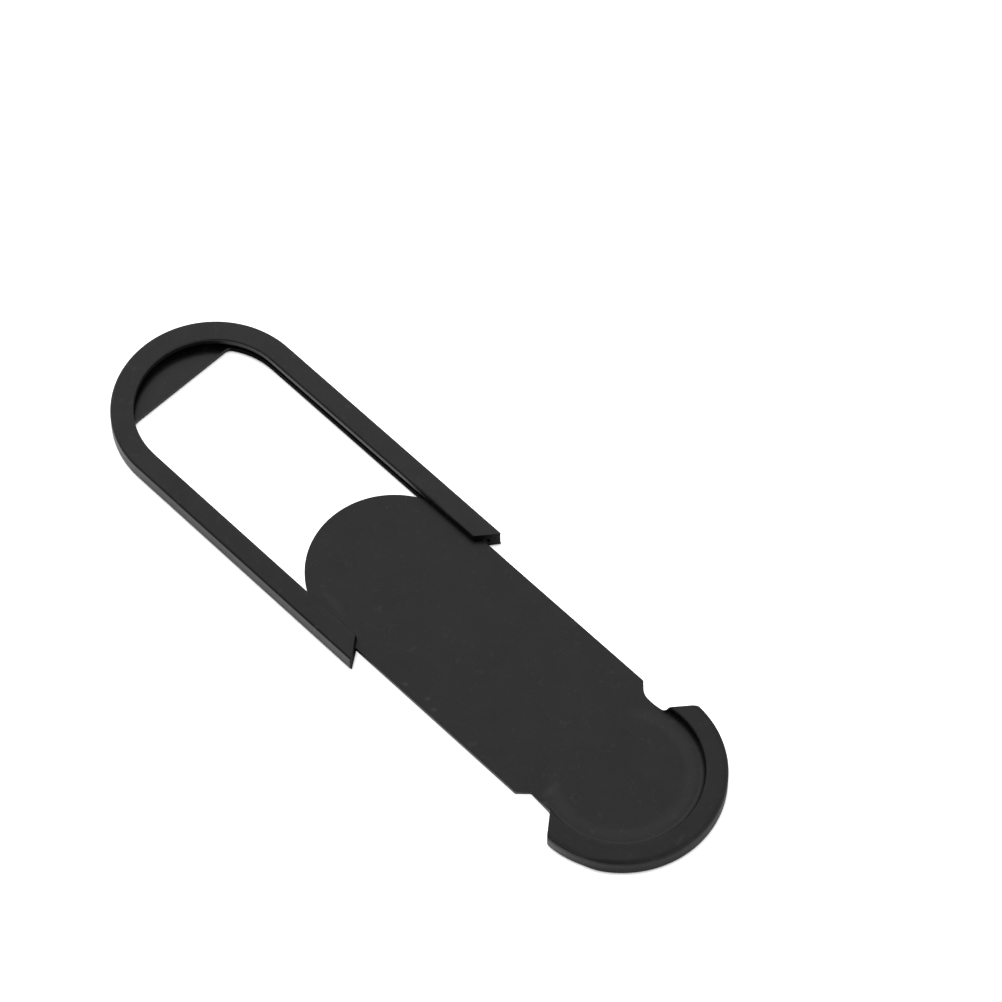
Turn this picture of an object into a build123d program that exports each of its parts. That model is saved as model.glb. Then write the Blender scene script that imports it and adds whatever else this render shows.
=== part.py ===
from build123d import *
import os
from math import radians, tan

# Sliding webcam cover: a stick-on U-shaped channel frame, and a slider whose rimmed head closes it.
# The origin is the centre of the frame's round end, on the adhesive face that meets the lid.
# +X runs from the frame's closed end to its open end, +Z points away from the lid.

# Driving dimensions, in millimetres.

# Whole cover, pushed shut
cover_width = 16.0
closed_length = 40.2

# Frame: a C-shaped channel carried round a U
floor_thickness = 0.45
floor_setback = 0.03
lip_thickness = 0.55
lip_width = 1.83
wall_thickness = 0.78
top_round = 0.20
lip_round = 0.12
bottom_round = 0.10
mitre_angle = 39.0
mitre_tip_round = 0.15
web_depth = 4.30
window_corner = 0.70

# Stop nubs in the groove, near the ends of the arms
nub_setback = 1.04
nub_clearance = 0.10
stop_clearance = 0.05

# Slider
plate_thickness = 0.40
plate_clearance = 0.05
side_clearance = 0.43
nose_clearance = 0.06
catch_clearance = 0.18
catch_length = 1.75
catch_land = 0.60
rim_width = 1.70
rim_lead = 0.20
mitre_gap = 0.26
notch_depth = 0.82
notch_floor_length = 2.10
left_notch_round = 1.30
right_notch_round = 0.35
rim_corner_round = 0.40

# Double-sided adhesive tape
tape_thickness = 0.10
tape_inset = 0.30

# Levels, from the adhesive face up
base_z = tape_thickness
floor_z = base_z + floor_thickness
plate_z = floor_z + plate_clearance
plate_top_z = plate_z + plate_thickness
groove_top_z = plate_top_z + plate_clearance
top_z = groove_top_z + lip_thickness

# Radii of the round ends, which are also half widths of the straight stretch
frame_r = cover_width / 2
groove_r = frame_r - wall_thickness
lip_r = frame_r - lip_width
floor_r = lip_r + floor_setback
catch_half = groove_r - catch_clearance
plate_half = groove_r - side_clearance
notch_half = plate_half - notch_depth
rim_r = frame_r - rim_width

# Places along X, with the slider pushed shut
mitre_slope = tan(radians(mitre_angle))
head_x = closed_length - cover_width
rim_start_x = head_x + rim_lead
arm_tip_x = rim_start_x - mitre_gap
web_x = web_depth - frame_r
nose_x = plate_half + nose_clearance - groove_r
catch_x = nose_x + catch_length

# The nubs stand out of the groove's wall and stop the catches behind the slider's nose.
nub_r = side_clearance - nub_clearance
nub_x = arm_tip_x - wall_thickness * mitre_slope - nub_setback
travel = nub_x - nub_r - stop_clearance - catch_x


def mitre_x(outer_x, y):
    """X of a slanted end at half width y, for an end that reaches outer_x at the cover's edge."""
    return outer_x - (frame_r - y) * mitre_slope


def corner(shape, *place):
    """The vertex of a sketch that lies nearest to a place."""
    return shape.vertices().sort_by_distance(place)[0]


def both_sides(shape):
    """A shape and its mirror image across the cover's long axis."""
    return shape + mirror(shape, about=Plane.XZ)


def channel_section():
    """The C-shaped section: wall, lip over the groove, floor under it. X is half width, Y is height."""
    section = make_face(Polyline(
        (floor_r, base_z),
        (frame_r, base_z),
        (frame_r, top_z),
        (lip_r, top_z),
        (lip_r, groove_top_z),
        (groove_r, groove_top_z),
        (groove_r, floor_z),
        (floor_r, floor_z),
        close=True,
    ))
    section = fillet(corner(section, frame_r, top_z), top_round)
    section = fillet(corner(section, lip_r, top_z), lip_round)
    return fillet(corner(section, frame_r, base_z), bottom_round)


def frame_plan():
    """Outline of the frame from above, with the open end filled in to the point where the mitres meet."""
    plan = make_face(
        Line((arm_tip_x, frame_r), (0, frame_r))
        + CenterArc((0, 0), frame_r, 90, 180)
        + Polyline(
            (0, -frame_r),
            (arm_tip_x, -frame_r),
            (mitre_x(arm_tip_x, 0), 0),
            (arm_tip_x, frame_r),
        )
    )
    tips = [corner(plan, arm_tip_x, side * frame_r) for side in (-1, 1)]
    return fillet(tips, mitre_tip_round)


def window_plan(grow=0.0):
    """The window through the floor: a slot with a round end that the web's edge cuts off straight."""
    half = floor_r + grow
    slot = Circle(half) + Pos(arm_tip_x / 2, 0) * Rectangle(arm_tip_x, 2 * half)
    beyond_web = Rectangle(2 * closed_length, 2 * cover_width, align=(Align.MIN, Align.CENTER))
    plan = slot & Pos(web_x - grow, 0) * beyond_web
    return fillet(plan.vertices().group_by(Axis.X)[0], window_corner + grow)


def base_frame():
    """The frame's one moulding: channel, mitred arm ends, floor web at the closed end and stop nubs."""
    section = Plane.YZ * channel_section()
    channel = both_sides(extrude(section, amount=arm_tip_x)) + revolve(section, Axis.Z, 180)
    channel &= extrude(frame_plan(), amount=top_z)

    round_end = Circle(groove_r) & Rectangle(cover_width, cover_width, align=(Align.MAX, Align.CENTER))
    web = Pos(0, 0, base_z) * extrude(round_end - window_plan(), amount=floor_thickness)

    groove_height = groove_top_z - floor_z
    nub = Pos(nub_x, groove_r, floor_z) * Cylinder(
        nub_r, groove_height, align=(Align.CENTER, Align.CENTER, Align.MIN)
    )
    return channel + web + both_sides(nub)


def notch_plan(floor_round):
    """The notch in the slider's left side. Its floor ends at the rim's slanted end."""
    outside = cover_width
    floor_end_x = mitre_x(rim_start_x, notch_half)
    floor_start_x = floor_end_x - notch_floor_length
    ramp_start_x = floor_start_x - notch_depth
    notch = make_face(Polyline(
        (ramp_start_x, plate_half),
        (floor_start_x, notch_half),
        (floor_end_x, notch_half),
        (mitre_x(rim_start_x, outside), outside),
        (ramp_start_x, outside),
        close=True,
    ))
    floor_corners = [corner(notch, x, notch_half) for x in (floor_start_x, floor_end_x)]
    return fillet(floor_corners, floor_round)


def slider_plan():
    """Outline of the slider from above, pushed shut: round nose, catches, plate, notches, round head."""
    plate = make_face(
        CenterArc((nose_x, 0), plate_half, 90, 180)
        + Polyline(
            (nose_x, -plate_half),
            (head_x, -plate_half),
            (head_x, plate_half),
            (nose_x, plate_half),
        )
    )

    # Each catch rises on a gentle ramp, so that the slider snaps in, and ends square, so that it stays in.
    catch = make_face(Polyline(
        (nose_x, plate_half),
        (catch_x - catch_land, catch_half),
        (catch_x, catch_half),
        (catch_x, plate_half),
        close=True,
    ))

    left_notch = notch_plan(left_notch_round)
    right_notch = mirror(notch_plan(right_notch_round), about=Plane.XZ)
    plan = plate + both_sides(catch) + Pos(head_x, 0) * Circle(frame_r) - left_notch - right_notch
    rim_corners = [corner(plan, rim_start_x, side * frame_r) for side in (-1, 1)]
    return fillet(rim_corners, rim_corner_round)


def rim_section():
    """Section of the slider's rim. X is the distance from the head's axis, Y the height."""
    foot_radius = top_z - plate_top_z - lip_round
    foot_start = (rim_r - foot_radius, plate_top_z)
    foot_end = (rim_r, plate_top_z + foot_radius)
    lip_end = (rim_r + lip_round, top_z)
    foot = RadiusArc(foot_start, foot_end, foot_radius)
    edge = RadiusArc(foot_end, lip_end, -lip_round)
    outside = Polyline(
        lip_end,
        (frame_r, top_z),
        (frame_r, base_z),
        (rim_r, base_z),
        (rim_r, plate_z),
        (rim_r - foot_radius, plate_z),
        foot_start,
    )
    section = make_face(foot + edge + outside)
    section = fillet(corner(section, frame_r, top_z), top_round)
    return fillet(corner(section, frame_r, base_z), bottom_round)


def slider():
    """The slider's one moulding, drawn out to its stop: plate, and rim turned about the head's axis."""
    plan = slider_plan()
    plate = Pos(0, 0, plate_z) * extrude(plan, amount=plate_thickness)

    head = Pos(mitre_x(rim_start_x, notch_half), 0) * Rectangle(
        cover_width, cover_width, align=(Align.MIN, Align.CENTER)
    )
    rim = Pos(head_x, 0, 0) * revolve(Plane.XZ * rim_section(), Axis.Z, 360)
    rim &= extrude(plan & head, amount=top_z)
    return Pos(travel, 0, 0) * (plate + rim)


def adhesive_tape():
    """The tape under the frame, cut a little smaller than the frame's floor on every side."""
    plan = offset(frame_plan(), -tape_inset, kind=Kind.INTERSECTION) - window_plan(tape_inset)
    return extrude(plan, amount=tape_thickness)


pieces = {
    "base_frame": base_frame(),
    "slider": slider(),
    "adhesive_tape": adhesive_tape(),
}

os.makedirs("parts", exist_ok=True)
for name, piece in pieces.items():
    export_step(piece, f"parts/{name}.step")
print(f"slider travel {travel:.2f} mm")
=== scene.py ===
# %% [markdown]
# # A sliding webcam cover
#
# The cover is three pieces: a U-shaped channel that sticks to a laptop's lid, a thin slider that runs in
# the channel's groove, and the tape between channel and lid. Both mouldings are the same black plastic, so
# the picture lives on crisp small rounds and on what the satin surface mirrors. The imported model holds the
# places and the outer sizes. It is loaded first and stays as it is.

import bmesh
import bpy
import numpy as np
from mathutils import Matrix, Vector


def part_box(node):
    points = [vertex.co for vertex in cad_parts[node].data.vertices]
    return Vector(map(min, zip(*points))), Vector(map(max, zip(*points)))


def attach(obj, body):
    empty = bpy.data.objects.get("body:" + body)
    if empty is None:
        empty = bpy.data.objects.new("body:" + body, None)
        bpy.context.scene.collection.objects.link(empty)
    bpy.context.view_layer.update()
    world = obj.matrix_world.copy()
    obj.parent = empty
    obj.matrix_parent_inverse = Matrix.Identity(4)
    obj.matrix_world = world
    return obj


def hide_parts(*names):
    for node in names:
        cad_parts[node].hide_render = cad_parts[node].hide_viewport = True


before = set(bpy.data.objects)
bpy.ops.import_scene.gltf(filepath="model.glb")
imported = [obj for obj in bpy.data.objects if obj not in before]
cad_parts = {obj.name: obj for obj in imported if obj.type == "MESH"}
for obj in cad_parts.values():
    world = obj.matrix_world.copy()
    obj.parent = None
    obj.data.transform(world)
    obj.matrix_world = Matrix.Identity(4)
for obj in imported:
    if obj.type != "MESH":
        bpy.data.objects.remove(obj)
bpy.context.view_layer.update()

MM = 0.001

# %% [markdown]
# ## Sizes of the channel
#
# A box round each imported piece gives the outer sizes, so the surfaces follow a new pack. The walls, slants
# and rounds inside those boxes are listed as a mould maker would list them, in millimetres. Every edge that
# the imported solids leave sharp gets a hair-fine round, because no mould gives a true knife edge and the round
# is what catches the light. Along the arms the lip's edge is worn a little rounder, and the slanted tips lean
# out a little below it.

# %% Walls, slants and rounds of the channel, in millimetres
wall = 0.78
lip_width = 1.83
lip_thickness = 0.55
floor_thickness = 0.45
floor_setback = 0.03
web_depth = 4.30
window_corner = 0.70
nub_setback = 1.04
nub_gap = 0.10
side_gap = 0.43
mitre = np.radians(39.0)
mitre_slope = np.tan(mitre)

top_round = 0.20
lip_round = 0.12
bottom_round = 0.10
tip_round = 0.15
hair_round = 0.04
inner_round = 0.02
lip_wear = 0.05
tip_lean = 0.20
print(f"lip {lip_width} wide, wall {wall} thick, tips slanted by {np.degrees(mitre):.0f} degrees")


# %% Places in the channel, from its packed box
def box_mm(node):
    """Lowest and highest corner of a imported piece, in millimetres."""
    return [np.array(corner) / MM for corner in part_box(node)]


channel_low, channel_high = box_mm("base_frame")
base_z = channel_low[2]
top_z = channel_high[2]
floor_z = base_z + floor_thickness
groove_top_z = top_z - lip_thickness

frame_r = channel_high[1]
groove_r = frame_r - wall
lip_r = frame_r - lip_width
floor_r = lip_r + floor_setback
web_x = web_depth - frame_r
arm_tip_x = channel_high[0] + tip_round * (mitre_slope + 1 / np.cos(mitre) - 1)
nub_r = side_gap - nub_gap
nub_x = arm_tip_x - wall * mitre_slope - nub_setback
print(f"width {2 * frame_r:.2f}, height {top_z:.2f}, arm tips at {arm_tip_x:.2f}, nubs at {nub_x:.2f}")

# %% [markdown]
# ## Rounded outlines
#
# Every surface here starts from a section or an outline with round corners, so the first tool rounds them.
# It could walk from corner to corner, but all corners obey one formula. They are worked out at once as
# arrays, and the same call serves one section or two hundred of them.


# %% Corner rounding
def unit(vectors):
    """Vectors divided by their lengths."""
    return vectors / np.linalg.norm(vectors, axis=-1, keepdims=True)


def turned(first, last, turn, w):
    """Unit vectors a share w of the way from first to last, which lie an angle of turn apart.

    Each is sin((1 - w) turn) of the first plus sin(w turn) of the last, over sin(turn).
    """
    return (np.sin((1 - w) * turn) * first + np.sin(w * turn) * last) / np.sin(turn)


def corner_arcs(before, corner, after, radius, steps):
    """Round the corners of an outline. Returns the arcs' points, and the spokes to them from the centres.

    The unit vectors from a corner to its neighbours enclose an angle. The arc's ends lie
    radius / tan(half angle) along the two sides, and its centre radius / sin(half angle) along the bisector.
    The spokes turn from one end to the other.
    """
    radius = np.broadcast_to(radius, corner.shape[:-1])[..., None]
    back = unit(before - corner)
    ahead = unit(after - corner)
    half = np.arccos(np.clip((back * ahead).sum(-1, keepdims=True), -1, 1)) / 2
    centre = corner + unit(back + ahead) * radius / np.sin(half)
    first = (corner + back * radius / np.tan(half) - centre) / radius
    last = (corner + ahead * radius / np.tan(half) - centre) / radius
    turn = (np.pi - 2 * half)[..., None, :]
    w = np.linspace(0, 1, steps + 1)[:, None]
    spokes = turned(first[..., None, :], last[..., None, :], turn, w)
    return centre[..., None, :] + radius[..., None, :] * spokes, spokes


def rounded_section(corners, radii, steps=5):
    """Closed section with rounded corners, and its outward normals.

    The corners run anticlockwise, so the spokes of a left turn point out of the material and those of a
    right turn point into it. Leading axes are kept, so a stack of sections is rounded in one call.
    """
    before = np.roll(corners, 1, axis=-2)
    after = np.roll(corners, -1, axis=-2)
    points, spokes = corner_arcs(before, corners, after, radii, steps)
    came = corners - before
    goes = after - corners
    left_turn = came[..., 0] * goes[..., 1] - came[..., 1] * goes[..., 0] > 0
    normals = spokes * np.where(left_turn, 1, -1)[..., None, None]
    shape = (*corners.shape[:-2], -1, 2)
    return points.reshape(shape), normals.reshape(shape)


print("rounding ready")

# %% [markdown]
# ## From grid to mesh
#
# A surface of two parameters is a grid of points. Neighbouring rows make quads, a closed direction wraps
# round, and an open tube gets a flat cap on each end. Points that fall together, as at a pole or along a
# seam, are merged, so that each piece is one closed skin. A weighted-normal modifier keeps the large flats
# flat where they run into the small rounds. It weighs faces by their area and gives up on areas as small as
# these are in metres. So the mesh is made in millimetres, and scaled once the modifier is applied.


# %% Grid to mesh
def grid_quads(rows, columns, wrap_rows):
    """Index quads of a grid whose columns wrap round. Each quad joins a point to its next row and column."""
    index = np.arange(rows * columns).reshape(rows, columns)
    below = np.roll(index, -1, axis=0)
    if not wrap_rows:
        index, below = index[:-1], below[:-1]
    quads = [index, np.roll(index, -1, axis=1), np.roll(below, -1, axis=1), below]
    return np.stack(quads, axis=-1).reshape(-1, 4)


def closed_skin(name, points, faces, merge=1e-4, sharp_angle=np.radians(32)):
    """A mesh in millimetres, with points closer than merge made one and with its faces turned outwards."""
    mesh = bpy.data.meshes.new(name)
    mesh.from_pydata(points.reshape(-1, 3).tolist(), [], faces)
    shell = bmesh.new()
    shell.from_mesh(mesh)
    bmesh.ops.remove_doubles(shell, verts=shell.verts, dist=merge)
    bmesh.ops.recalc_face_normals(shell, faces=shell.faces)
    open_edges = sum(not edge.is_manifold for edge in shell.edges)
    print(f"{name}: {len(shell.faces)} faces, {open_edges} open edges, {shell.calc_volume():.1f} cubic mm")
    shell.to_mesh(mesh)
    shell.free()
    mesh.shade_smooth()
    mesh.set_sharp_from_angle(angle=sharp_angle)
    return mesh


def make_piece(name, points, faces):
    """An object at the origin from points in millimetres, with weighted normals, scaled to metres."""
    draft = closed_skin(name, points, faces)
    piece = bpy.data.objects.new(name, draft)
    bpy.context.scene.collection.objects.link(piece)
    weighted = piece.modifiers.new("flat flats", "WEIGHTED_NORMAL")
    weighted.keep_sharp = True
    applied = piece.evaluated_get(bpy.context.evaluated_depsgraph_get())
    piece.data = bpy.data.meshes.new_from_object(applied)
    piece.modifiers.clear()
    bpy.data.meshes.remove(draft)
    piece.data.name = name
    piece.data.transform(Matrix.Scale(MM, 4))
    return piece


print("3 rings of 4 points make", len(grid_quads(3, 4, wrap_rows=False)), "quads")

# %% [markdown]
# ## The channel
#
# The channel is a C-shaped section bent round a U, as an extrusion would be, but it is moulded: the floor
# grows into a web across the closed end, and a nub stands in the groove near each arm's tip to stop the
# slider. All of that stays one sweep. The window's edge gives the floor its own reach in each direction, and
# a nub is a place where the groove's back wall comes forward by the height of a circle. The tips are cut on
# the slant, a little less at the foot, so that the moulding leaves its mould. A ball rolled along that cut
# gives the edge its round.


# %% Window edge, seen from the round end's centre
def window_turns(half, straight_x, corner):
    """Directions of the two ends of the window's rounded corner, on the round and on the straight side.

    The corner's circle touches the round edge in the direction of its own centre, and the line x = straight_x
    at the height of that centre.
    """
    centre_y = np.sqrt((half - corner) ** 2 - (straight_x + corner) ** 2)
    return np.arctan2(centre_y, straight_x + corner), np.arctan2(centre_y, straight_x)


def window_reach(angle, half, straight_x, corner):
    """Distance from the round end's centre to the window's edge in each direction.

    The edge is a circle of radius half that the line x = straight_x cuts off. Towards the line the distance
    is straight_x / cos(angle). Between them it is where the ray leaves the corner's own circle.
    """
    centre_x = straight_x + corner
    centre_y = np.sqrt((half - corner) ** 2 - centre_x**2)
    ray_x = np.cos(angle)
    ray_y = np.abs(np.sin(angle))
    along = ray_x * centre_x + ray_y * centre_y
    inside = corner**2 - (centre_x**2 + centre_y**2 - along**2)
    corner_reach = along + np.sqrt(np.maximum(inside, 0))
    round_side, straight_side = window_turns(half, straight_x, corner)
    turn = np.arctan2(ray_y, ray_x)
    return np.select([turn >= straight_side, turn >= round_side], [straight_x / ray_x, corner_reach], half)


channel_window = (floor_r, web_x, window_corner)
print("window corner from", np.degrees(window_turns(*channel_window)).round(1), "degrees")


# %% Rings round the bend and along an arm
def bend_rings(corners, radii, inner, window, steps=180, corner_steps=8):
    """Rings round the closed end. A point at half width h lies at h (cosine, sine) of its ring's angle.

    The inner corners lie on the window's edge. More rings stand where that edge has its rounded corners.
    """
    corner_angles = np.linspace(*window_turns(*window), corner_steps + 1)
    even_angles = np.linspace(np.pi / 2, 3 * np.pi / 2, steps + 1)
    angle = np.unique(np.concatenate([even_angles, corner_angles, 2 * np.pi - corner_angles]))
    bend_corners = np.repeat(corners[None], len(angle), axis=0)
    bend_corners[:, inner, 0] = window_reach(angle, *window)[:, None]
    section, _ = rounded_section(bend_corners, radii)
    reach, height = section[..., 0], section[..., 1]
    return np.stack([reach * np.cos(angle)[:, None], reach * np.sin(angle)[:, None], height], axis=-1)


def arm_rings(corners, radii, end_x, bulge, steps=24, bulge_steps=20):
    """Rings along an arm, with their share of the way to the end. Each point of the section has its own end.

    bulge is (corner indices, centre, radius) of a nub, or None. Those corners come forward by the height of
    a circle over the wall, the square root of radius^2 less the squared distance from the centre.
    """
    share = np.linspace(0, 1, steps + 1)
    if bulge:
        indices, centre, radius = bulge
        wall_end = end_x.reshape(len(corners), -1)[indices].mean()
        over_nub = centre + radius * np.cos(np.linspace(0, np.pi, bulge_steps + 1))
        share = np.union1d(share, over_nub / wall_end)
    arm_corners = np.repeat(corners[None], len(share), axis=0)
    if bulge:
        height = np.sqrt(np.maximum(radius**2 - (share * wall_end - centre) ** 2, 0))
        arm_corners[:, indices, 0] -= height[:, None]
    section, _ = rounded_section(arm_corners, radii)
    return np.stack([share[:, None] * end_x, section[..., 0], section[..., 1]], axis=-1), share


print("bend and arm ready")


# %% Rings over an arm's slanted tip
def tip_rings(section, normals, tip_x, edge, tip, steps=6):
    """Rings over the rounded edge of the slanted tip x = tip_x - (frame_r - h) slope, and the ball's centres.

    A ball rolls along that edge. Its radius is edge, and grows to tip on the outer wall with the fourth power
    of the normal's outward part. Its centre lies one radius inside both skins, and its spokes turn from the
    section's normal to the tip's.
    """
    ball = edge + (tip - edge) * np.clip(normals[:, 0], 0, 1) ** 4
    h, z = (section - ball[:, None] * normals).T
    x = tip_x - (frame_r - h) * mitre_slope - ball / np.cos(mitre)
    centres = np.column_stack([x, h, z])
    tip_normal = np.array([np.cos(mitre), -np.sin(mitre), 0])
    side_normal = np.column_stack([np.zeros(len(section)), normals])
    turn = np.arccos(side_normal @ tip_normal)[:, None]
    w = np.linspace(0, 1, steps + 1)[1:, None, None]
    return centres + ball[:, None] * turned(side_normal, tip_normal, turn, w), centres


print("tip ready")


# %% A section carried round the U
def swept_u(corners, bend_radii, arm_radii, inner, window, tip_x, edge, tip, lean=(0, 1), bulge=None):
    """Rings of a section that is carried along one arm, round the closed end and back along the other arm.

    Below the top the tip's slant is less: its inner end stands out by lean[0] from the depth lean[1] down.
    That grows in line with the depth and with the way in from the outer wall, and fades along the arm as its
    share to the power of 8. The second arm is the first with y turned over.
    """
    section, normals = rounded_section(corners, arm_radii)
    over_tip, ball_centres = tip_rings(section, normals, tip_x, edge, tip)
    arm, share = arm_rings(corners, arm_radii, ball_centres[:, 0], bulge)
    bend = bend_rings(corners, bend_radii, inner, window)

    widest, highest = corners.max(axis=0)
    inwards = lean[0] * (widest - ball_centres[:, 1]) / np.ptp(corners[:, 0])
    over_tip[..., 0] += inwards * np.minimum((highest - over_tip[..., 2]) / lean[1], 1)
    arm[..., 0] += inwards * np.minimum((highest - arm[..., 2]) / lean[1], 1) * share[:, None] ** 8

    far = np.concatenate([over_tip[::-1], arm[::-1]])
    near = far[::-1] * [1, -1, 1]
    return np.concatenate([far, bend[1:-1], near])


def capped_tube(rings):
    """Faces of a tube: quads between its rings, and one flat cap on each end."""
    rows, columns = rings.shape[:2]
    last = (rows - 1) * columns
    caps = [list(range(columns)), list(range(last, last + columns))]
    return grid_quads(rows, columns, wrap_rows=False).tolist() + caps


print("sweep ready")

# %% The channel's section and sweep
section_table = np.array([
    (floor_r, base_z, hair_round),
    (frame_r, base_z, bottom_round),
    (frame_r, top_z, top_round),
    (lip_r, top_z, lip_round),
    (lip_r, groove_top_z, hair_round),
    (groove_r, groove_top_z, inner_round),
    (groove_r, floor_z, inner_round),
    (floor_r, floor_z, hair_round),
])
channel_corners = section_table[:, :2]
channel_radii = section_table[:, 2]
floor_edge = [0, 7]
lip_edge = 3
groove_back = [5, 6]
arm_radii = channel_radii.copy()
arm_radii[lip_edge] += lip_wear
channel_rings = swept_u(
    channel_corners,
    channel_radii,
    arm_radii,
    inner=floor_edge,
    window=channel_window,
    tip_x=arm_tip_x,
    edge=hair_round,
    tip=tip_round,
    lean=(tip_lean, lip_thickness),
    bulge=(groove_back, nub_x, nub_r),
)
channel = make_piece("channel_moulding", channel_rings, capped_tube(channel_rings))

# %% [markdown]
# ## The tape
#
# Double-sided foam tape, punched a little smaller than the channel's floor. It only shows as a dark line
# under the channel, but from a low view that line is what lifts the cover off the table. The same sweep makes
# it, from a flat rectangle.

# %% The tape's section and sweep
tape_inset = 0.30
tape_round = 0.02
tape_low, tape_high = box_mm("adhesive_tape")
tape_low_r = floor_r + tape_inset
tape_high_r = frame_r - tape_inset
tape_corners = np.array([
    (tape_low_r, tape_low[2]),
    (tape_high_r, tape_low[2]),
    (tape_high_r, tape_high[2]),
    (tape_low_r, tape_high[2]),
])
tape_radii = np.full(len(tape_corners), tape_round)
tape_edge = [0, 3]
tape_rings = swept_u(
    tape_corners,
    tape_radii,
    tape_radii,
    inner=tape_edge,
    window=(tape_low_r, web_x - tape_inset, window_corner + tape_inset),
    tip_x=arm_tip_x - tape_inset / np.cos(mitre),
    edge=tape_round,
    tip=tape_round,
)
tape = make_piece("foam_tape", tape_rings, capped_tube(tape_rings))

# %% [markdown]
# ## The slider
#
# The slider is a flat plate with a round nose, a notch in each side and a head that carries a raised rim.
# It could be a plate and a ring joined by a boolean, but one skin is cleaner: a spine runs down the plate's
# middle, a ray goes from the spine to each point of the outline, and a section stands on each ray. In the
# head all rays start from its centre, so the rim's section is the same on each of them, and where the
# slanted ends cut the rim short the ray simply stops early.
#
# The two notches differ. The left one's floor is a shallow arc and the right one's a slope, so each is listed
# as a depth and a round at the start, the middle and the end of its floor.

# %% Plate, catches, notches and rim, in millimetres
plate_thickness = 0.40
running_gap = 0.05
catch_gap = 0.18
catch_length = 1.75
catch_land = 0.60
catch_round = 0.30
notch_depth = 0.82
notch_floor_length = 2.10
notch_edge_round = 0.15
left_notch = np.array([(0.86, 1.30), (0.90, 5.00), (0.80, 0.50)])
right_notch = np.array([(0.84, 0.25), (0.76, 5.00), (0.69, 0.60)])
rim_width = 1.70
rim_lead = 0.20
rim_corner_round = 0.40
print(f"plate {plate_thickness} thick, notches about {notch_depth} deep, rim {rim_width} wide")

# %% Places in the slider, from its packed box
slider_low, slider_high = box_mm("slider")
plate_z = floor_z + running_gap
plate_top_z = plate_z + plate_thickness
plate_half = groove_r - side_gap
notch_half = plate_half - notch_depth
rim_r = frame_r - rim_width
head_x = slider_high[0] - frame_r
nose_x = slider_low[0] + plate_half - head_x
print(f"head centre at {head_x:.2f}, nose centre {-nose_x:.2f} behind it, plate {2 * plate_half:.2f} wide")


# %% Arcs and slants of the slider's outline
def arc(centre, radius, start, end, steps):
    """Points of a circle's arc: centre plus radius times (cosine, sine) of angles from start to end."""
    angle = np.linspace(start, end, steps + 1)
    return np.array(centre) + radius * np.column_stack([np.cos(angle), np.sin(angle)])


def mitre_x(lead, y):
    """X of the rim's slanted end at half width y, from the head's centre."""
    return lead - (frame_r - y) * mitre_slope


slant = np.array([np.sin(mitre), np.cos(mitre)])
into_rim = np.array([np.cos(mitre), -np.sin(mitre)])


def rim_corner():
    """Centre of the round between the rim's slanted end and the head's arc, and its first and last direction.

    The centre lies the round's own radius inside both: on the line beside the slant, where the distance from
    the head's centre is frame_r less that radius.
    """
    beside = np.array([rim_lead, frame_r]) + rim_corner_round * into_rim
    along = beside @ slant
    gap = beside @ beside - (frame_r - rim_corner_round) ** 2
    centre = beside + slant * (-along + np.sqrt(along**2 - gap))
    return centre, np.arctan2(-into_rim[1], -into_rim[0]), np.arctan2(centre[1], centre[0])


print("rim corner rounded about", rim_corner()[0].round(2))


# %% Half of the slider's outline, from nose to head
def slider_outline(notch):
    """Half outline in the head's own frame: nose arc, catch, side, notch, slanted rim end and head arc.

    notch holds depth and round at the start, middle and end of the notch's floor. A ramp at 45 degrees leads
    down to it, and it ends on the rim's slant, whose points crowd towards the notch as the square of their
    share. The nose's arc stops just before the round into the catch.
    """
    depth, notch_round = notch.T
    floor_half = plate_half - depth
    ramp_start = mitre_x(rim_lead, notch_half) - notch_floor_length - notch_depth
    floor_start = ramp_start + depth[0]
    floor_end = mitre_x(rim_lead, floor_half[2])
    catch_x = nose_x + catch_length
    catch_half = groove_r - catch_gap
    corner_centre, corner_start, corner_end = rim_corner()

    path = np.array([
        (nose_x - 1, plate_half),
        (nose_x, plate_half),
        (catch_x - catch_land, catch_half),
        (catch_x, catch_half),
        (catch_x, plate_half),
        (ramp_start, plate_half),
        (floor_start, floor_half[0]),
        ((floor_start + floor_end) / 2, floor_half[1]),
        (floor_end, floor_half[2]),
        corner_centre - rim_corner_round * into_rim,
    ])
    radii = np.array([catch_round, catch_round, hair_round, hair_round, notch_edge_round, *notch_round])
    corners, _ = corner_arcs(path[:-2], path[1:-1], path[2:], radii, steps=12)
    corners = corners.reshape(-1, 2)
    w = np.linspace(0, 1, 26)[1:-1, None] ** 2
    slanted_end = corners[-1] * (1 - w) + path[-1] * w
    nose_end = np.pi / 2 + 0.05

    return np.concatenate([
        arc((nose_x, 0), plate_half, np.pi, nose_end, steps=60),
        corners,
        slanted_end,
        arc(corner_centre, rim_corner_round, corner_start, corner_end, steps=14),
        arc((0, 0), frame_r, corner_end, 0, steps=110)[1:],
    ])


# Both sides share their mean x, so that the skin closes along the spine.
left_half = slider_outline(left_notch)
right_half = slider_outline(right_notch) * [1, -1]
outline = np.concatenate([left_half, right_half[-2:0:-1]])
middle_x = (left_half[:, 0] + right_half[:, 0]) / 2
middle_x = np.concatenate([middle_x, middle_x[-2:0:-1]])
print(f"slider outline: {len(outline)} points, from {outline[:, 0].min():.2f} to {outline[:, 0].max():.2f}")


# %% Rays from the spine to the outline
def smooth_step(low, high, value):
    """0 below low, 1 above high, and 3 w^2 - 2 w^3 between, where w is the share of the way."""
    w = np.clip((value - low) / (high - low), 0, 1)
    return w * w * (3 - 2 * w)


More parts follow.
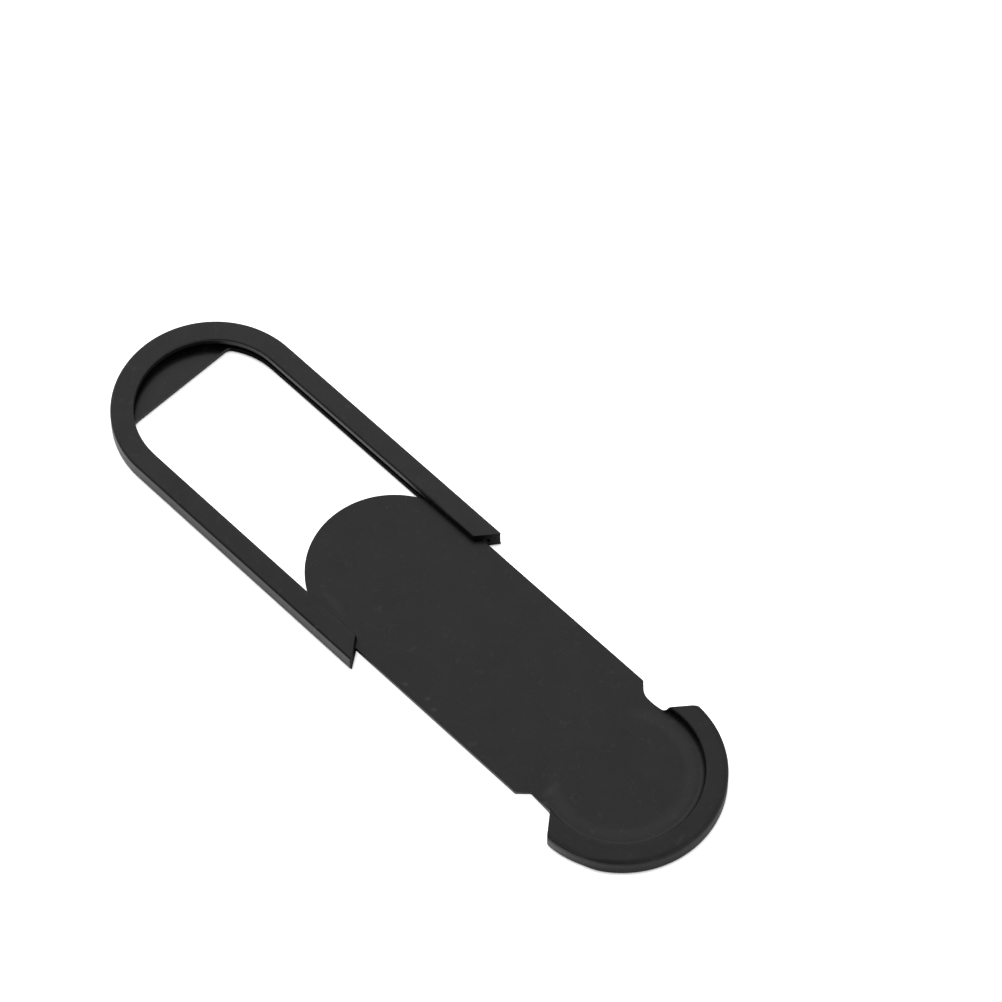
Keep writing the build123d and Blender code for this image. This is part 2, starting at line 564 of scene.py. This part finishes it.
# The spine follows the outline up to spine_start, then runs ahead to the head's centre.
spine_end = mitre_x(rim_lead, notch_half)
spine_start = 4 * spine_end
spine_x = np.interp(middle_x, [nose_x, spine_start, spine_end], [nose_x, spine_start, 0])
rays = outline - np.column_stack([spine_x, np.zeros(len(outline))])
reach = np.linalg.norm(rays, axis=1)
rays = rays / reach[:, None]
bearing = np.degrees(np.arctan2(outline[:, 1], outline[:, 0]))
in_head = smooth_step(1.3 * spine_end, 0.95 * spine_end, outline[:, 0])
on_arc = in_head * smooth_step(frame_r - rim_corner_round, frame_r - 0.01, reach)
print(f"{(in_head > 0.5).sum()} of {len(outline)} rays in the head, {(on_arc > 0.5).sum()} on its arc")

# %% [markdown]
# ### Rounds of the rim, and their wear
#
# The rim's edges are rounded, and use has changed them by 0.10 to 0.25 mm: rounder on top where a thumb
# pushes, crisper near the right end, where the lower edge is rounder instead, and rounder inside on the left.
# Each change is a smooth step over the bearing, the direction from the head's centre in degrees, so that no
# seam shows where it starts.

# %% Rounds in millimetres, on every ray
push_wear = 0.20
crisp_loss = 0.12
foot_wear = 0.25
rim_wear = 0.10
pushed = smooth_step(-65, -48, bearing) * smooth_step(5, -20, bearing)
crisp = smooth_step(-55, -68, bearing)
top_edge = hair_round + (top_round - crisp_loss * crisp + push_wear * pushed - hair_round) * on_arc
low_edge = hair_round + (bottom_round + foot_wear * crisp - hair_round) * on_arc
bend_r = (lip_round + rim_wear * smooth_step(20, 70, bearing))[:, None]
print(f"top edge rounded by {top_edge.min():.2f} to {top_edge.max():.2f}")

# %% Height of the top along a ray
rim_height = top_z - plate_top_z
foot_r = rim_height - lip_round
steepest = np.arccos(1 - rim_height / (foot_r + bend_r))
start_t = rim_r - foot_r
meet_t = start_t + foot_r * np.sin(steepest)
end_t = meet_t + bend_r * np.sin(steepest)


def top_at(t):
    """Height of the top at a distance t along each ray: plate, hollow arc, lip arc, level rim.

    The hollow arc starts level with the plate, and the lip arc ends level with the rim's top. Both turn by
    the same steepest angle, so (1 - cosine) of it times the sum of their radii is the rim's height.
    """
    hollow = foot_r - np.sqrt(np.maximum(foot_r**2 - (t - start_t) ** 2, 0))
    lip = rim_height - bend_r + np.sqrt(np.maximum(bend_r**2 - (end_t - t) ** 2, 0))
    rise = np.select([t < start_t, t < meet_t, t < end_t], [0 * t, hollow, lip], rim_height)
    return plate_top_z + in_head[:, None] * rise


print(f"the rim rises {rim_height:.2f} over {(end_t - start_t).min():.2f} to {(end_t - start_t).max():.2f}")


# %% A section on every ray
def slider_grid():
    """Rows of the slider's skin, from the spine over the top, round the edge and back under the plate.

    Rows before the edge shrink with the ray where it is too short. The edge is a quarter circle down from
    the top, a wall, and a quarter circle in to the underside, which steps up where the rim ends.
    """
    hollow_share = np.linspace(0, 1, 13)
    lip_share = np.linspace(1, 0, 9)[1:]
    hollow_t = start_t + foot_r * np.sin(steepest * hollow_share)
    lip_t = end_t - bend_r * np.sin(steepest * lip_share)
    shrink = np.minimum(1, (reach - top_edge)[:, None] / (end_t + hair_round))
    inner_t = np.hstack([hollow_t, lip_t]) * shrink

    edge = np.linspace(0, np.pi / 2, 8)
    over_t = reach[:, None] - top_edge[:, None] * (1 - np.sin(edge))
    over_z = top_at((reach - top_edge)[:, None]) - top_edge[:, None] * (1 - np.cos(edge))
    low_z = np.where((reach > rim_r) & (in_head > 0.5), base_z, plate_z)[:, None]
    under_t = reach[:, None] - low_edge[:, None] * (1 - np.cos(edge))
    under_z = low_z + low_edge[:, None] * (1 - np.sin(edge))

    step_t = np.minimum(rim_r, under_t[:, -1:] - hair_round)
    zero = np.zeros_like(step_t)
    plate = zero + plate_z
    t = np.hstack([zero, inner_t, over_t, under_t, step_t, step_t - inner_round, zero])
    z = np.hstack([zero + plate_top_z, top_at(inner_t), over_z, under_z, low_z, plate, plate])
    x = head_x + spine_x[:, None] + rays[:, :1] * t
    y = rays[:, 1:] * t
    return np.stack([x, y, z], axis=-1)


# A section starts and ends on the spine, so its last column doesn't wrap round.
slider_rows = slider_grid()
rows, columns = slider_rows.shape[:2]
slider_faces = grid_quads(rows, columns, wrap_rows=True).reshape(rows, columns, 4)[:, :-1].reshape(-1, 4)
slider = make_piece("slider_moulding", slider_rows, slider_faces.tolist())

# %% [markdown]
# ## Black satin plastic
#
# The plastic is black all through. What the eye sees on it is mostly the room, mirrored softly: about four
# hundredths of the light straight on and far more at a grazing angle. So the base colour is very dark and
# the roughness is middling. A grain of about a tenth of a millimetre comes from the mould's spark-eroded
# face, a slow mottle from the melt, and pale specks and short hairs are dust and lint.


# %% Helpers for shader graphs
def shader_node(tree, kind, inputs=None, **properties):
    """A node with its properties set and each input given as a constant or as another node's socket."""
    node = tree.nodes.new(kind)
    for key, value in properties.items():
        setattr(node, key, value)
    for key, value in (inputs or {}).items():
        if isinstance(value, bpy.types.NodeSocket):
            tree.links.new(value, node.inputs[key])
        else:
            node.inputs[key].default_value = value
    return node


def math_node(tree, operation, *values):
    """The socket of a math node that takes these values or sockets in order."""
    return shader_node(tree, "ShaderNodeMath", dict(enumerate(values)), operation=operation).outputs[0]


def vector_node(tree, operation, *values, output="Vector"):
    """The socket of a vector math node that takes these vectors or sockets in order."""
    node = shader_node(tree, "ShaderNodeVectorMath", dict(enumerate(values)), operation=operation)
    return node.outputs[output]


def ranged(tree, value, from_min, from_max, to_min, to_max, blend="LINEAR"):
    """The socket of a map-range node: value from one range to another, held at its ends."""
    inputs = {"Value": value, "From Min": from_min, "From Max": from_max, "To Min": to_min, "To Max": to_max}
    return shader_node(tree, "ShaderNodeMapRange", inputs, interpolation_type=blend).outputs["Result"]


def noise(tree, place, grain, detail):
    """The socket of a noise whose features are about as large as the grain, in millimetres."""
    inputs = {"Vector": place, "Scale": 1 / (grain * MM), "Detail": detail}
    return shader_node(tree, "ShaderNodeTexNoise", inputs).outputs["Fac"]


def object_place(tree):
    """The socket of the piece's own coordinates, in metres."""
    return shader_node(tree, "ShaderNodeTexCoord").outputs["Object"]


def coordinate(tree, place, axis):
    """The socket of one coordinate, X, Y or Z."""
    return shader_node(tree, "ShaderNodeSeparateXYZ", {0: place}).outputs[axis]


def new_material(name):
    """An empty node material, its tree and its Principled shader."""
    material = bpy.data.materials.new(name)
    material.use_nodes = True
    return material, material.node_tree, material.node_tree.nodes["Principled BSDF"]


print("shader helpers ready")

# %% [markdown]
# ### Marks that belong to a place
#
# A rubbed streak, a smudge or a nick is a soft oval at a known place. Painting it would need an image. As a
# distance it needs none: move the coordinates to the oval's middle, turn them along it, divide by its half
# sizes, and the length of what is left is 0 in the middle and 1 on the edge.


# %% Soft oval marks and rings
def plan_length(tree, vector):
    """The socket of a vector's length seen from above, with its height left out."""
    flat = vector_node(tree, "MULTIPLY", vector, (1, 1, 0))
    return vector_node(tree, "LENGTH", flat, output="Value")


def soft_mark(tree, place, centre, angle, half_sizes, strength):
    """Strength in the middle of an oval, falling smoothly to nothing at its edge, placed in millimetres."""
    x, y = np.array(centre) * MM
    width, height = np.array(half_sizes) * MM
    inputs = {"Vector": place, "Location": (x, y, 0), "Rotation": (0, 0, np.radians(angle))}
    inputs["Scale"] = (width, height, 1)
    moved = shader_node(tree, "ShaderNodeMapping", inputs, vector_type="TEXTURE").outputs["Vector"]
    return ranged(tree, plan_length(tree, moved), 0, 1, strength, 0, "SMOOTHSTEP")


def soft_ring(tree, place, centre_x, rise, fall, strength):
    """Strength on a ring round (centre_x, 0), up between the radii of rise and down between those of fall."""
    away = plan_length(tree, vector_node(tree, "SUBTRACT", place, (centre_x * MM, 0, 0)))
    up = ranged(tree, away, rise[0] * MM, rise[1] * MM, 0, strength, "SMOOTHSTEP")
    down = ranged(tree, away, fall[0] * MM, fall[1] * MM, 1, 0, "SMOOTHSTEP")
    return math_node(tree, "MULTIPLY", up, down)


print("marks ready")

# %% [markdown]
# ### Dust, and the plastic under it
#
# Dust lies anywhere, so it needs no list of places. A cell pattern gives specks, at most one to a cell, and
# the line where a slow noise has its middle value gives hairs. Under them the plastic's own tone and gloss
# vary slowly, and its grain is a bump of a few thousandths of a millimetre.


# %% Dust and lint
def specks(tree, place, cell, radius, share, strength):
    """Round specks, at most one in each cell of a plan pattern. share is the part of the cells with none."""
    inputs = {"Vector": place, "Scale": 1 / (cell * MM)}
    cells = shader_node(tree, "ShaderNodeTexVoronoi", inputs, voronoi_dimensions="2D")
    chance = shader_node(tree, "ShaderNodeSeparateColor", {"Color": cells.outputs["Color"]}).outputs["Red"]
    speck = ranged(tree, cells.outputs["Distance"], 0.3 * radius / cell, radius / cell, 1, 0, "SMOOTHSTEP")
    return math_node(tree, "MULTIPLY", speck, ranged(tree, chance, share, 1, 0, strength))


def hairs(tree, place, grain, strength):
    """Short fine curves: where a slow noise is near its middle value and a second noise is high."""
    off_middle = math_node(tree, "SUBTRACT", noise(tree, place, grain, 1), 0.5)
    line = ranged(tree, math_node(tree, "ABSOLUTE", off_middle), 0.003, 0.014, strength, 0, "SMOOTHSTEP")
    shown = ranged(tree, noise(tree, place, 0.6 * grain, 0), 0.52, 0.6, 0, 1, "SMOOTHSTEP")
    return math_node(tree, "MULTIPLY", line, shown)


def dust(tree, place):
    """Sockets of specks and hairs, in two sizes each."""
    return [
        specks(tree, place, cell=0.8, radius=0.12, share=0.5, strength=0.006),
        specks(tree, place, cell=0.4, radius=0.08, share=0.6, strength=0.005),
        hairs(tree, place, grain=1.5, strength=0.0055),
        hairs(tree, place, grain=0.8, strength=0.0045),
    ]


print("dust ready")

# %% The plastic
mottle_size = 2.2
gloss_patch = 1.1
gloss_play = 0.03
polished_share = 0.65
spark_size = 0.11
spark_depth = 0.003


def satin_plastic(name, tone, roughness, polish=None, extras=(), wear=()):
    """Black plastic: a dark base with mottle and dust, a fine spark-eroded grain and a satin gloss.

    polish names a vertex attribute that is 1 where the mould was polished. Each of extras and of wear makes
    a socket from the tree and the coordinates. Extras are added to the base tone, wear to the roughness.
    """
    material, tree, surface = new_material(name)
    place = object_place(tree)

    shade = ranged(tree, noise(tree, place, mottle_size, 4), 0.3, 0.7, 0.6 * tone, 1.4 * tone)
    for mark in dust(tree, place) + [extra(tree, place) for extra in extras]:
        shade = math_node(tree, "ADD", shade, mark)
    tree.links.new(shade, surface.inputs["Base Color"])

    patches = noise(tree, place, gloss_patch, 2)
    spread = ranged(tree, patches, 0.3, 0.7, roughness - gloss_play, roughness + gloss_play)
    if polish:
        smooth = shader_node(tree, "ShaderNodeAttribute", attribute_name=polish).outputs["Fac"]
        spread = math_node(tree, "MULTIPLY", spread, ranged(tree, smooth, 0, 1, 1, polished_share))
    for worn in wear:
        spread = math_node(tree, "ADD", spread, worn(tree, place))
    tree.links.new(spread, surface.inputs["Roughness"])

    bump = {"Height": noise(tree, place, spark_size, 2), "Strength": 0.3, "Distance": spark_depth * MM}
    tree.links.new(shader_node(tree, "ShaderNodeBump", bump).outputs["Normal"], surface.inputs["Normal"])
    return material


def dull_shade_plastic(name, tone, gloss, extras=()):
    """Dull plastic for faces in shade, a painted shade: as dark as the rest, rough, and with little gloss.
    Extras are added to the base tone.
    """
    material, tree, surface = new_material(name)
    place = object_place(tree)
    shade = ranged(tree, noise(tree, place, 0.2, 3), 0.3, 0.7, 0.4 * tone, tone)
    for extra in extras:
        shade = math_node(tree, "ADD", shade, extra(tree, place))
    tree.links.new(shade, surface.inputs["Base Color"])
    surface.inputs["Roughness"].default_value = 0.7
    surface.inputs["Specular IOR Level"].default_value = gloss
    return material


print(f"plastic with a grain of {spark_size} and a mottle of {mottle_size}")

# %% [markdown]
# ### The channel's finish
#
# Inside the channel the mould was polished, so that the slider runs easily, and the low floor mirrors the lip
# above it as a dark band. The ledge along the window gets a dull dark finish with hardly any gloss, a painted
# shade. The slanted tips have little gloss too, a painted shade, and a painted tone that grows paler towards
# the
# outer wall. They are told apart by place: low and inside the wall for the polish, low and facing the window
# for the ledge, at the end and facing along the slide for the tips.
#
# The near arm is painted a little darker, a painted shade, and a small nick on its upper edge is painted pale
# as its highlight. The far lip is rubbed matt beside the slider's nose, and a pale spot in the far groove's
# open end is a painted highlight on the nub.


# %% Where the channel is polished, and where it gets painted shade
def from_middle(points):
    """Unit vectors in plan, and distances, from the U's middle line to each point."""
    plan = points[:, :2].copy()
    plan[:, 0] = np.minimum(plan[:, 0], 0)
    return unit(plan), np.linalg.norm(plan, axis=1)


def read_points(items, name):
    """A mesh's vertex or face places as an array, in the mesh's own units."""
    values = np.empty(3 * len(items))
    items.foreach_get(name, values)
    return values.reshape(-1, 3)


points = read_points(channel.data.vertices, "co") / MM
_, away = from_middle(points)
polished = ((points[:, 2] < plate_top_z) & (away < groove_r)).astype(np.float32)
channel.data.attributes.new("polished", "FLOAT", "POINT").data.foreach_set("value", polished)

centres = read_points(channel.data.polygons, "center") / MM
normals = read_points(channel.data.polygons, "normal")
outwards, away = from_middle(centres)
facing_out = (normals[:, :2] * outwards).sum(1)
on_ledge = np.abs(away - floor_r) < hair_round
# Painted shade: the ledge under the lip and the slanted tips get a dull dark finish where shade falls on them.
dull_shade_ledge = on_ledge & (centres[:, 2] < floor_z - inner_round) & (facing_out < -0.5)
near_tip = arm_tip_x - (frame_r - away) * mitre_slope - tip_round
dull_shade_tip = (centres[:, 0] > near_tip) & (normals[:, 0] > 0.6)
finish_index = np.select([dull_shade_ledge, dull_shade_tip], [1, 2], 0).astype(np.int32)
channel.data.polygons.foreach_set("material_index", finish_index)
print(f"{polished.mean():.0%} of the points polished, {dull_shade_ledge.sum()} ledge and {dull_shade_tip.sum()} tip faces")


# %% Finish of the channel
def nick_glint(tree, place):
    """A pale nick on the near arm's upper edge, painted as the nick's small highlight."""
    return soft_mark(tree, place, (20.12, -7.92), 60, (0.25, 0.14), 0.02)


def painted_shade_arm(tree, place):
    """A slightly darker tone along the near arm, a painted shade."""
    return soft_mark(tree, place, (14.0, -7.1), 0, (22.0, 3.0), -0.0022)


def nub_glint(tree, place):
    """A pale spot on the ledge in the far groove's open end, under the lip, a painted highlight where the nub
    catches the light.
    """
    spot = soft_mark(tree, place, (arm_tip_x - 1.0, groove_r - 0.2), 0, (0.35, 0.3), 0.12)
    lip_z = groove_top_z * MM
    under_lip = ranged(tree, coordinate(tree, place, "Z"), lip_z, lip_z + hair_round * MM, 1, 0)
    return math_node(tree, "MULTIPLY", spot, under_lip)


def rubbed_lip(tree, place):
    """Extra roughness on the far lip's inner face, where the slider's nose comes to rest."""
    return soft_mark(tree, place, (18.2, lip_r), 0, (3.4, 0.35), 0.45)


def tip_shading(tree, place):
    """A tone that grows across the slanted tips, from inside the lip to the outer wall: painted shading, darker
    inside and paler outside.
    """
    away = math_node(tree, "ABSOLUTE", coordinate(tree, place, "Y"))
    return ranged(tree, away, (lip_r + 0.4) * MM, frame_r * MM, 0, 0.03, "SMOOTHSTEP")


# The near arm's darker tone is painted shade, and the pale spots at the nick and in the far groove's end are
# painted highlights.
channel.data.materials.append(satin_plastic(
    "channel_plastic",
    tone=0.0045,
    roughness=0.36,
    polish="polished",
    extras=[nick_glint, painted_shade_arm, nub_glint],
    wear=[rubbed_lip],
))
# Painted shade on the ledge and the tips: dull dark plastic, with a painted tone across the tips.
channel.data.materials.append(dull_shade_plastic("dull_shade_ledge", tone=0.003, gloss=0.08))
channel.data.materials.append(dull_shade_plastic("dull_shade_tip", tone=0.004, gloss=0.12, extras=[tip_shading]))
print("channel finished with", [material.name for material in channel.data.materials])

# %% [markdown]
# ### The slider's finish
#
# A band just inside the rim is a little paler, a painted reflection along the rim's foot. A soft streak lies
# beside one notch, small scuffs along one side, and a smudge on the rim where a thumb pushes it. The rim's top
# is a little darker than the plate, and its outer edge is worn matt.


# %% Finish of the slider
def head_share(tree, place):
    """0 on the plate, 1 in the head, and a smooth step between."""
    x = coordinate(tree, place, "X")
    return ranged(tree, x, (head_x - 4.5) * MM, (head_x - 1.5) * MM, 0, 1, "SMOOTHSTEP")


def rim_sheen_and_tone(tree, place):
    """The paler band along the rim's foot, a painted reflection, and the darker rim outside it. Both fade out
    towards the plate.
    """
    pale = soft_ring(tree, place, head_x, (4.5, 5.1), (5.3, 6.0), 0.004)
    dark = soft_ring(tree, place, head_x, (5.9, 6.4), (9.0, 9.5), -0.0018)
    return math_node(tree, "MULTIPLY", math_node(tree, "ADD", pale, dark), head_share(tree, place))


def streak(tree, place):
    """A soft pale streak beside the right notch, with a brighter end at the notch."""
    long = soft_mark(tree, place, (head_x - 2.6, -4.9), 86, (1.3, 0.5), 0.007)
    end = soft_mark(tree, place, (head_x - 2.1, -5.9), 60, (0.5, 0.25), 0.009)
    return math_node(tree, "ADD", long, end)


def smudge(tree, place):
    """A faint smudge on the rim's top at its far end."""
    return soft_mark(tree, place, (head_x + 7.25, -1.1), 98, (0.8, 0.18), 0.009)


def scuffs(tree, place):
    """Small pale scuffs along the plate's right side, and a faint patch along the channel."""
    total = soft_mark(tree, place, (head_x - 25.6, -5.2), -8, (2.0, 0.5), 0.005)
    for x, y, angle in ((-16.7, -6.25, 20), (-14.6, -5.95, 70), (-13.6, -6.25, 40)):
        scuff = soft_mark(tree, place, (head_x + x, y), angle, (0.36, 0.24), 0.015)
        total = math_node(tree, "ADD", total, scuff)
    return total


def worn_edge(tree, place):
    """Extra roughness on the upper outer edge of the head, where fingers push it."""
    ring = soft_ring(tree, place, head_x, (7.45, 7.75), (9.0, 9.5), 0.2)
    z = coordinate(tree, place, "Z")
    high = ranged(tree, z, (top_z - 0.5) * MM, (top_z - 0.3) * MM, 0, 1, "SMOOTHSTEP")
    ring = math_node(tree, "MULTIPLY", ring, high)
    return math_node(tree, "MULTIPLY", ring, head_share(tree, place))


# The pale band at the rim's foot is a painted reflection.
slider.data.materials.append(satin_plastic(
    "slider_plastic",
    tone=0.003,
    roughness=0.36,
    extras=[rim_sheen_and_tone, streak, smudge, scuffs],
    wear=[worn_edge],
))
print("slider finished with", [material.name for material in slider.data.materials])

# %% [markdown]
# ## Foam tape
#
# Closed-cell foam has no gloss. Small cells show as a pitted edge, so a cell pattern makes both the shade
# and the bump.


# %% The foam
def foam(name, cells_per_metre, pit_depth):
    """Black foam: dull, with pits from a cell pattern. The pits are given in millimetres."""
    material, tree, surface = new_material(name)
    inputs = {"Vector": object_place(tree), "Scale": cells_per_metre}
    cells = shader_node(tree, "ShaderNodeTexVoronoi", inputs).outputs["Distance"]
    tree.links.new(ranged(tree, cells, 0, 0.7, 0.004, 0.02), surface.inputs["Base Color"])
    bump = shader_node(tree, "ShaderNodeBump", {"Height": cells, "Strength": 0.6, "Distance": pit_depth * MM})
    tree.links.new(bump.outputs["Normal"], surface.inputs["Normal"])
    surface.inputs["Roughness"].default_value = 0.85
    return material


tape.data.materials.append(foam("black_foam", cells_per_metre=14000, pit_depth=0.02))
print("foam on", tape.name)

# %% [markdown]
# ## Each piece on its body
#
# The channel and the tape stay with the frame, the slider moves with the shutter. Each surface stands for
# the imported piece that it was worked out from.

# %% Ride and replace
for piece, body, node, finish in (
    (channel, "frame", "base_frame", "moulding"),
    (tape, "frame", "adhesive_tape", "adhesive"),
    (slider, "shutter", "slider", "moulding"),
):
    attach(piece, body)
    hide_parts(node)
    print(piece.name, "rides on", body)

# %% [markdown]
# ## Table and light
#
# The cover lies on a white table in a white tent. The tent is open, and dark, on the near left, and dimmer
# near the horizon and straight above. The upper faces mirror its roof, the walls mirror the table, and the
# small rounds mirror the dark opening, which draws a thin black line along them. Lamps could do this, but
# each would leave its own glint, so most of the light is the world itself, as a function of direction. One
# lamp that only matt surfaces see lights the table from the far left.


# %% White table
def seen_directly(tree, path):
    """1 for rays that come straight from the camera or through glass, otherwise 0."""
    return math_node(tree, "MAXIMUM", path.outputs["Is Camera Ray"], path.outputs["Is Transmission Ray"])


def table_material(floor_white, mirror_share, shadow_reach):
    """White that glows to the camera by floor_white and, by a share of that, to mirroring surfaces.

    The glow fades where something lies closer over the floor than shadow_reach, in millimetres, and there the
    floor's colour is painted darker too, a painted contact shadow. The rest of what a surface mirrors is the
    floor as it is lit and shaded.
    """
    material, tree, surface = new_material("white_table")
    surface.inputs["Roughness"].default_value = 0.9
    surface.inputs["Specular IOR Level"].default_value = 0
    path = shader_node(tree, "ShaderNodeLightPath")
    mirrored = math_node(tree, "MULTIPLY", path.outputs["Is Glossy Ray"], mirror_share)
    seen = math_node(tree, "MAXIMUM", seen_directly(tree, path), mirrored)
    distance = {"Distance": shadow_reach * MM}
    clear = shader_node(tree, "ShaderNodeAmbientOcclusion", distance, samples=2).outputs["AO"]
    # Painted contact shadow: the table's colour darkens where the cover lies close over it.
    tree.links.new(ranged(tree, clear, 0, 1, 0.1, 0.8), surface.inputs["Base Color"])
    strength = math_node(tree, "MULTIPLY", math_node(tree, "MULTIPLY", seen, floor_white), clear)
    surface.inputs["Emission Color"].default_value = (1, 1, 1, 1)
    tree.links.new(strength, surface.inputs["Emission Strength"])
    material.cycles.emission_sampling = "NONE"
    return material


def white_table(size):
    """A square floor that reaches size metres from the cover each way."""
    corners = [(-size, -size, 0), (size, -size, 0), (size, size, 0), (-size, size, 0)]
    mesh = bpy.data.meshes.new("table")
    mesh.from_pydata(corners, [], [(0, 1, 2, 3)])
    mesh.materials.append(table_material(floor_white=0.9, mirror_share=0.1, shadow_reach=0.22))
    table = bpy.data.objects.new("table", mesh)
    bpy.context.scene.collection.objects.link(table)
    return table


table = white_table(size=3.0)
print("table", table.dimensions[:])


# %% White tent with a dark opening
def heading(azimuth, elevation):
    """Unit vector for an azimuth from -Y towards +X and an elevation above the table, in degrees."""
    a, e = np.radians([azimuth, elevation])
    return Vector((np.sin(a) * np.cos(e), -np.cos(a) * np.cos(e), np.sin(e)))


def tent_light(bright, dark, low, top, opening, side, height):
    """World light by direction: bright roof, dark opening, a dimmer top and a dimmer band near the horizon.

    The share of a direction along the opening is the dot product of the two unit vectors. From side[0] to
    side[1] of it the level falls smoothly to dark. From height[0] to height[1] of the direction's upward part
    it rises from low times bright to bright, and from there to straight up it falls in line to top times
    bright. Straight to the camera the world is plain white.
    """
    world = bpy.data.worlds.new("tent")
    bpy.context.scene.world = world
    world.use_nodes = True
    tree = world.node_tree
    direction = shader_node(tree, "ShaderNodeTexCoord").outputs["Generated"]
    share = vector_node(tree, "DOT_PRODUCT", direction, opening, output="Value")
    open_side = ranged(tree, share, *side, 1, 0, "SMOOTHSTEP")
    upward = coordinate(tree, direction, "Z")
    roof = ranged(tree, upward, *height, low * bright, bright, "SMOOTHSTEP")
    roof = math_node(tree, "MULTIPLY", roof, ranged(tree, upward, height[1], 1, 1, top))
    level = math_node(tree, "MULTIPLY_ADD", roof, open_side, dark)
    seen = seen_directly(tree, shader_node(tree, "ShaderNodeLightPath"))
    background = tree.nodes["Background"]
    background.inputs["Color"].default_value = (1, 1, 1, 1)
    tree.links.new(math_node(tree, "MAXIMUM", level, seen), background.inputs["Strength"])
    return world


camera_azimuth = 45.60
camera_elevation = 58.38
tent = tent_light(
    bright=0.94,
    dark=0.02,
    low=0.55,
    top=0.42,
    opening=heading(camera_azimuth - 44, 0),
    side=(0.1, 0.8),
    height=(0.2, 0.75),
)
print("lit by", tent.name)


# %% Lamp for the table
def table_lamp(azimuth, elevation, strength, softness):
    """A soft sun that only diffuse surfaces see: it lights the table and leaves no glint on the plastic."""
    lamp = bpy.data.lights.new("table_lamp", "SUN")
    lamp.energy = strength
    lamp.angle = np.radians(softness)
    holder = bpy.data.objects.new("table_lamp", lamp)
    holder.rotation_euler = (-heading(azimuth, elevation)).to_track_quat("-Z", "Y").to_euler()
    holder.visible_glossy = False
    bpy.context.scene.collection.objects.link(holder)
    return holder


lamp = table_lamp(azimuth=camera_azimuth - 140, elevation=45, strength=3.0, softness=30)
print("lit by", lamp.name)

# %% [markdown]
# ## Camera
#
# The camera looks down steeply from between the slider's head and the cover's right side. It stands far off
# with a long lens, so the two arms stay almost parallel. The picture shows colours as they are written, so
# the view transform is the plain one.

# %% Camera
look_at = Vector((21.318, 10.575, 0.171)) * MM
camera_distance = 372.18 * MM
camera_data = bpy.data.cameras.new("camera")
camera_data.lens = 172.96
camera_data.sensor_width = 36.0
camera_data.clip_start = 0.01
camera = bpy.data.objects.new("camera", camera_data)
bpy.context.scene.collection.objects.link(camera)
back = heading(camera_azimuth, camera_elevation)
camera.location = look_at + camera_distance * back
camera.rotation_euler = (-back).to_track_quat("-Z", "Y").to_euler()
bpy.context.scene.camera = camera
bpy.context.scene.view_settings.view_transform = "Standard"
print("camera at", [round(value / MM, 1) for value in camera.location])
